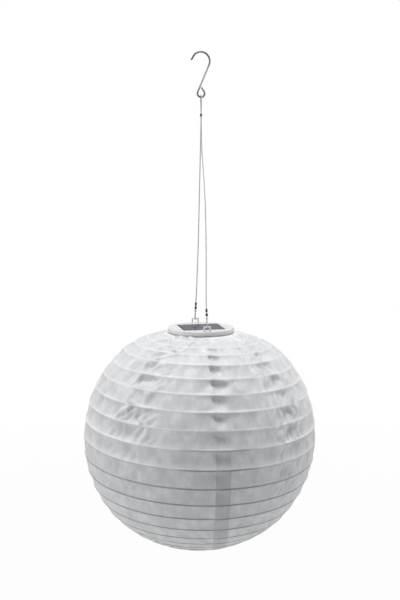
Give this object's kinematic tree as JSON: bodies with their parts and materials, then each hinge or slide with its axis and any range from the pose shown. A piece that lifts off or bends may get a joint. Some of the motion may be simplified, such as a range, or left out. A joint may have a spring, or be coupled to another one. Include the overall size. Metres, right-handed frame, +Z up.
{
  "type": "solar lantern",
  "caption": "Hanging solar lantern: a round cloth shade on hoops that folds flat under a white cap with a solar panel, on a cable bail with a steel wire hook.",
  "frame": {"origin": "inside top of the hook's bend, the line of contact with what the lantern hangs from", "axes": "+Z up along the hanging line; +X along the long side of the solar panel and in the plane of the hook, whose tip is on the -X side; the two lugs lie along Y, the front one at -Y"},
  "size_m": [0.3077, 0.3078, 0.6312],
  "materials": {
    "hook_steel": "satin, drawn wire",
    "cable_coat": "light grey coating on a steel cable",
    "crimp": "black, slightly glossy",
    "swivel": "black barrel",
    "spring_wire": "satin spring wire",
    "cap_white": "white, glossy",
    "housing_grey": "pale warm grey, satin",
    "panel": "dark glossy solar cells",
    "adhesive": "dark foam pad",
    "shade_cloth": "white satin nylon",
    "hoop_white": "white coated steel wire",
    "cell": "plain wrapped metal can",
    "contact": "nickel plated spring leaf",
    "board": "green board",
    "lamp_clear": "clear warm lamp",
    "lens": "frosted dome",
    "switch_black": "black",
    "screw_steel": "plated"
  },
  "bodies": {
    "hook": {"hook": "hook_steel"},
    "hanger": {"hanger_cable": "cable_coat", "hanger_ferrule": "crimp", "leg_sleeve_front": "crimp", "swivel_stem_front": "spring_wire", "swivel_eye_front": "spring_wire", "snap_front": "spring_wire", "leg_sleeve_back": "crimp", "swivel_stem_back": "spring_wire", "swivel_eye_back": "spring_wire", "snap_back": "spring_wire"},
    "barrel_front": {"swivel_barrel_front": "swivel"},
    "barrel_back": {"swivel_barrel_back": "swivel"},
    "cap": {"cap_lug_front": "cap_white", "cap_lug_back": "cap_white", "cap_cover": "cap_white", "solar_panel": "panel", "panel_adhesive": "adhesive", "cap_housing": "housing_grey", "battery_door": "housing_grey", "battery": "cell", "battery_contact_negative": "contact", "battery_contact_positive": "contact", "circuit_board": "board", "lamp": "lamp_clear", "lamp_lens": "lens", "switch_body": "switch_black", "housing_screws": "screw_steel", "door_screw": "screw_steel", "top_hoop": "hoop_white", "shade_cloth": "shade_cloth"},
    "slider": {"switch_slider": "switch_black"},
    "ring_01": {"hoop_01": "hoop_white"},
    "ring_02": {"hoop_02": "hoop_white"},
    "ring_03": {"hoop_03": "hoop_white"},
    "ring_04": {"hoop_04": "hoop_white"},
    "ring_05": {"hoop_05": "hoop_white"},
    "ring_06": {"hoop_06": "hoop_white"},
    "ring_07": {"hoop_07": "hoop_white"},
    "ring_08": {"hoop_08": "hoop_white"},
    "ring_09": {"hoop_09": "hoop_white"},
    "ring_10": {"hoop_10": "hoop_white"},
    "ring_11": {"hoop_11": "hoop_white"},
    "ring_12": {"hoop_12": "hoop_white"},
    "ring_13": {"hoop_13": "hoop_white"},
    "ring_14": {"hoop_14": "hoop_white"},
    "ring_15": {"hoop_15": "hoop_white"},
    "ring_16": {"hoop_16": "hoop_white"},
    "ring_17": {"hoop_17": "hoop_white"},
    "ring_18": {"hoop_18": "hoop_white"},
    "ring_bottom": {"bottom_hoop": "hoop_white"}
  },
  "joints": [
    {"name": "hanger_swing", "type": "hinge", "parent": "hook", "child": "hanger", "pos_m": [0, 0, -0.05485], "axis": [1, 0, 0], "range_deg": [-75, 75]},
    {"name": "swivel_spin_front", "type": "hinge", "parent": "hanger", "child": "barrel_front", "pos_m": [0, -0.03868, -0.34617], "axis": [0, 0.225, 0.9744], "continuous": true},
    {"name": "swivel_spin_back", "type": "hinge", "parent": "hanger", "child": "barrel_back", "pos_m": [0, 0.03868, -0.34617], "axis": [0, -0.225, 0.9744], "continuous": true},
    {"name": "cap_rock", "type": "hinge", "parent": "hanger", "child": "cap", "pos_m": [0, 0, -0.34625], "axis": [0, 1, 0], "range_deg": [-90, 90]},
    {"name": "switch_slide", "type": "slide", "parent": "cap", "child": "slider", "axis": [1, 0, 0], "range_m": [0, 0.0024]},
    {"name": "fold_hoop_01", "type": "slide", "parent": "cap", "child": "ring_01", "axis": [0.0279, 0, 0.9996], "range_m": [0, 0.00309]},
    {"name": "fold_hoop_02", "type": "slide", "parent": "cap", "child": "ring_02", "axis": [0.0279, 0, 0.9996], "range_m": [0, 0.00726]},
    {"name": "fold_hoop_03", "type": "slide", "parent": "cap", "child": "ring_03", "axis": [0.0279, 0, 0.9996], "range_m": [0, 0.0126]},
    {"name": "fold_hoop_04", "type": "slide", "parent": "cap", "child": "ring_04", "axis": [0.0279, 0, 0.9996], "range_m": [0, 0.02068]},
    {"name": "fold_hoop_05", "type": "slide", "parent": "cap", "child": "ring_05", "axis": [0.0279, 0, 0.9996], "range_m": [0, 0.0329]},
    {"name": "fold_hoop_06", "type": "slide", "parent": "cap", "child": "ring_06", "axis": [0.0279, 0, 0.9996], "range_m": [0, 0.04704]},
    {"name": "fold_hoop_07", "type": "slide", "parent": "cap", "child": "ring_07", "axis": [0.0279, 0, 0.9996], "range_m": [0, 0.06301]},
    {"name": "fold_hoop_08", "type": "slide", "parent": "cap", "child": "ring_08", "axis": [0.0279, 0, 0.9996], "range_m": [0, 0.08064]},
    {"name": "fold_hoop_09", "type": "slide", "parent": "cap", "child": "ring_09", "axis": [0.0279, 0, 0.9996], "range_m": [0, 0.09967]},
    {"name": "fold_hoop_10", "type": "slide", "parent": "cap", "child": "ring_10", "axis": [0.0279, 0, 0.9996], "range_m": [0, 0.11977]},
    {"name": "fold_hoop_11", "type": "slide", "parent": "cap", "child": "ring_11", "axis": [0.0279, 0, 0.9996], "range_m": [0, 0.13972]},
    {"name": "fold_hoop_12", "type": "slide", "parent": "cap", "child": "ring_12", "axis": [0.0279, 0, 0.9996], "range_m": [0, 0.15833]},
    {"name": "fold_hoop_13", "type": "slide", "parent": "cap", "child": "ring_13", "axis": [0.0279, 0, 0.9996], "range_m": [0, 0.1753]},
    {"name": "fold_hoop_14", "type": "slide", "parent": "cap", "child": "ring_14", "axis": [0.0279, 0, 0.9996], "range_m": [0, 0.19046]},
    {"name": "fold_hoop_15", "type": "slide", "parent": "cap", "child": "ring_15", "axis": [0.0279, 0, 0.9996], "range_m": [0, 0.20372]},
    {"name": "fold_hoop_16", "type": "slide", "parent": "cap", "child": "ring_16", "axis": [0.0279, 0, 0.9996], "range_m": [0, 0.21425]},
    {"name": "fold_hoop_17", "type": "slide", "parent": "cap", "child": "ring_17", "axis": [0.0279, 0, 0.9996], "range_m": [0, 0.22308]},
    {"name": "fold_hoop_18", "type": "slide", "parent": "cap", "child": "ring_18", "axis": [0.0279, 0, 0.9996], "range_m": [0, 0.23032]},
    {"name": "shade_fold", "type": "slide", "parent": "cap", "child": "ring_bottom", "axis": [0.0279, 0, 0.9996], "range_m": [0, 0.23609], "deforming": ["shade_cloth"]}
  ],
  "couplings": [
    {"joint": "fold_hoop_01", "follows": "shade_fold", "ratio": 0.013011},
    {"joint": "fold_hoop_02", "follows": "shade_fold", "ratio": 0.030669},
    {"joint": "fold_hoop_03", "follows": "shade_fold", "ratio": 0.053288},
    {"joint": "fold_hoop_04", "follows": "shade_fold", "ratio": 0.087489},
    {"joint": "fold_hoop_05", "follows": "shade_fold", "ratio": 0.13926},
    {"joint": "fold_hoop_06", "follows": "shade_fold", "ratio": 0.19917},
    {"joint": "fold_hoop_07", "follows": "shade_fold", "ratio": 0.26681},
    {"joint": "fold_hoop_08", "follows": "shade_fold", "ratio": 0.34147},
    {"joint": "fold_hoop_09", "follows": "shade_fold", "ratio": 0.42209},
    {"joint": "fold_hoop_10", "follows": "shade_fold", "ratio": 0.50723},
    {"joint": "fold_hoop_11", "follows": "shade_fold", "ratio": 0.59174},
    {"joint": "fold_hoop_12", "follows": "shade_fold", "ratio": 0.67054},
    {"joint": "fold_hoop_13", "follows": "shade_fold", "ratio": 0.74243},
    {"joint": "fold_hoop_14", "follows": "shade_fold", "ratio": 0.80663},
    {"joint": "fold_hoop_15", "follows": "shade_fold", "ratio": 0.86281},
    {"joint": "fold_hoop_16", "follows": "shade_fold", "ratio": 0.9074},
    {"joint": "fold_hoop_17", "follows": "shade_fold", "ratio": 0.9448},
    {"joint": "fold_hoop_18", "follows": "shade_fold", "ratio": 0.97547}
  ]
}
